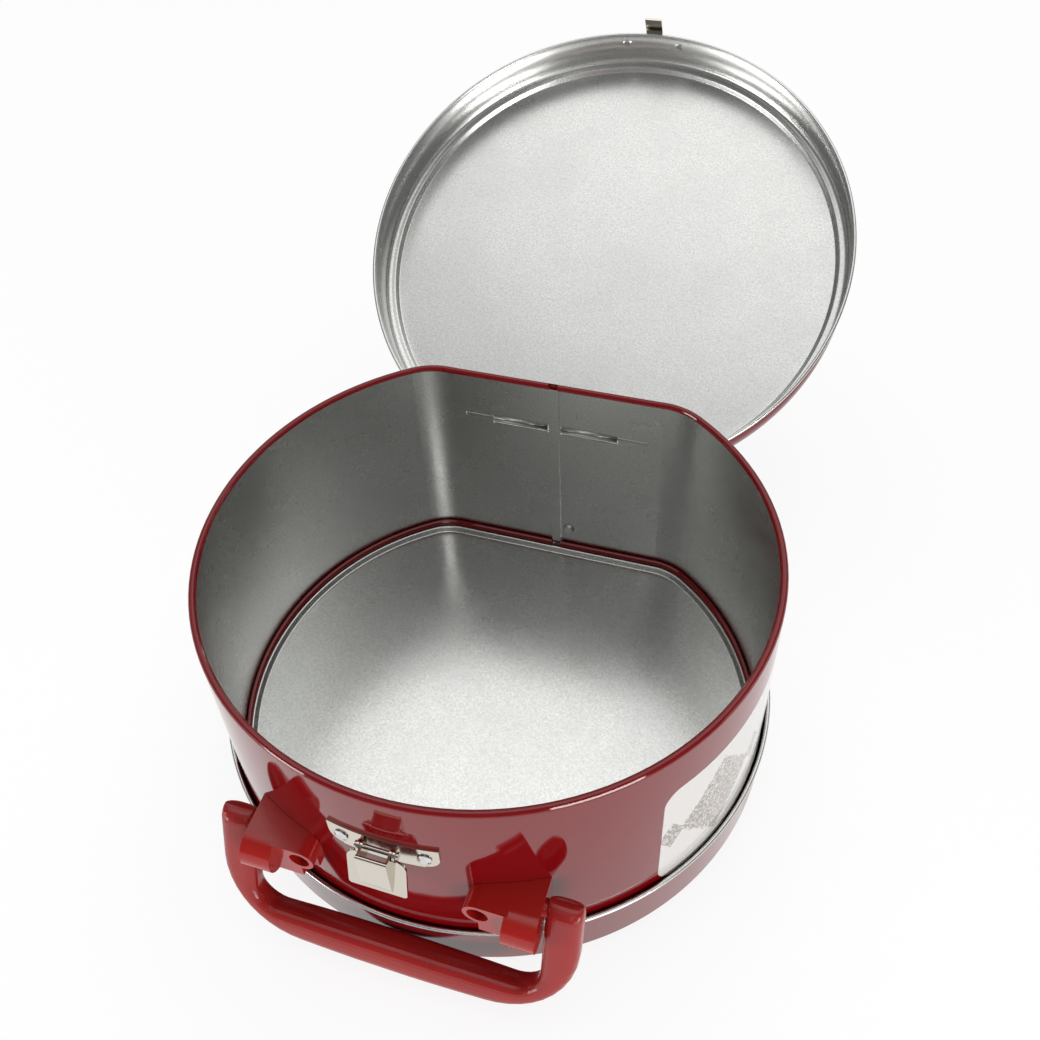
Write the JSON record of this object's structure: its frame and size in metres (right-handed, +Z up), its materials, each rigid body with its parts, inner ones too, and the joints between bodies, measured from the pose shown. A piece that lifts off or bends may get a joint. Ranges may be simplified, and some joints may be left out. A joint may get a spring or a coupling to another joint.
{
  "type": "round metal lunch box",
  "caption": "Round lacquered tin carry box with one flat side, lying on its back pan, with a hinged lid open, a snap latch and a swinging plastic handle.",
  "frame": {"origin": "middle of the round outline, on the plane that the back pan rests on", "axes": "+Z up out of the open box, -Y towards the latch and handle, +Y towards the flat side and hinge, +X to the right seen from the handle side"},
  "size_m": [0.1864, 0.3381, 0.1547],
  "materials": {
    "wall_lacquer": "gloss red lacquer outside, bare tinplate inside",
    "pan_lacquer": "gloss red lacquer outside, bare tinplate inside and on the rolled edge",
    "bracket_plastic": "gloss moulded red",
    "handle_plastic": "gloss moulded red",
    "nickel_steel": "nickel plated pressed steel",
    "rivet_aluminium": "satin",
    "pin_steel": "drawn wire"
  },
  "bodies": {
    "case": {"band": "wall_lacquer", "back_pan": "pan_lacquer", "pan_rivet": "rivet_aluminium", "hinge_pin_left": "pin_steel", "hinge_pin_right": "pin_steel", "latch_plate": "nickel_steel", "latch_rivet_left": "rivet_aluminium", "latch_rivet_right": "rivet_aluminium", "hasp_pin": "nickel_steel", "bracket_left": "bracket_plastic", "bracket_right": "bracket_plastic", "bracket_rivet_left": "rivet_aluminium", "bracket_rivet_right": "rivet_aluminium"},
    "lid": {"lid": "pan_lacquer", "catch_plate": "nickel_steel", "catch_rivet_left": "rivet_aluminium", "catch_rivet_right": "rivet_aluminium"},
    "hasp": {"hasp": "nickel_steel"},
    "handle": {"handle": "handle_plastic"}
  },
  "joints": [
    {"name": "lid_hinge", "type": "hinge", "parent": "case", "child": "lid", "pos_m": [0, 0.07815, 0.06555], "axis": [1, 0, 0], "range_deg": [0, 149.3]},
    {"name": "hasp_pivot", "type": "hinge", "parent": "case", "child": "hasp", "pos_m": [0, -0.0937, 0.06695], "axis": [-1, 0, 0], "range_deg": [0, 30]},
    {"name": "handle_pivot", "type": "hinge", "parent": "case", "child": "handle", "pos_m": [0, -0.0865, 0.0455], "axis": [-1, 0, 0], "range_deg": [0, 133]}
  ]
}
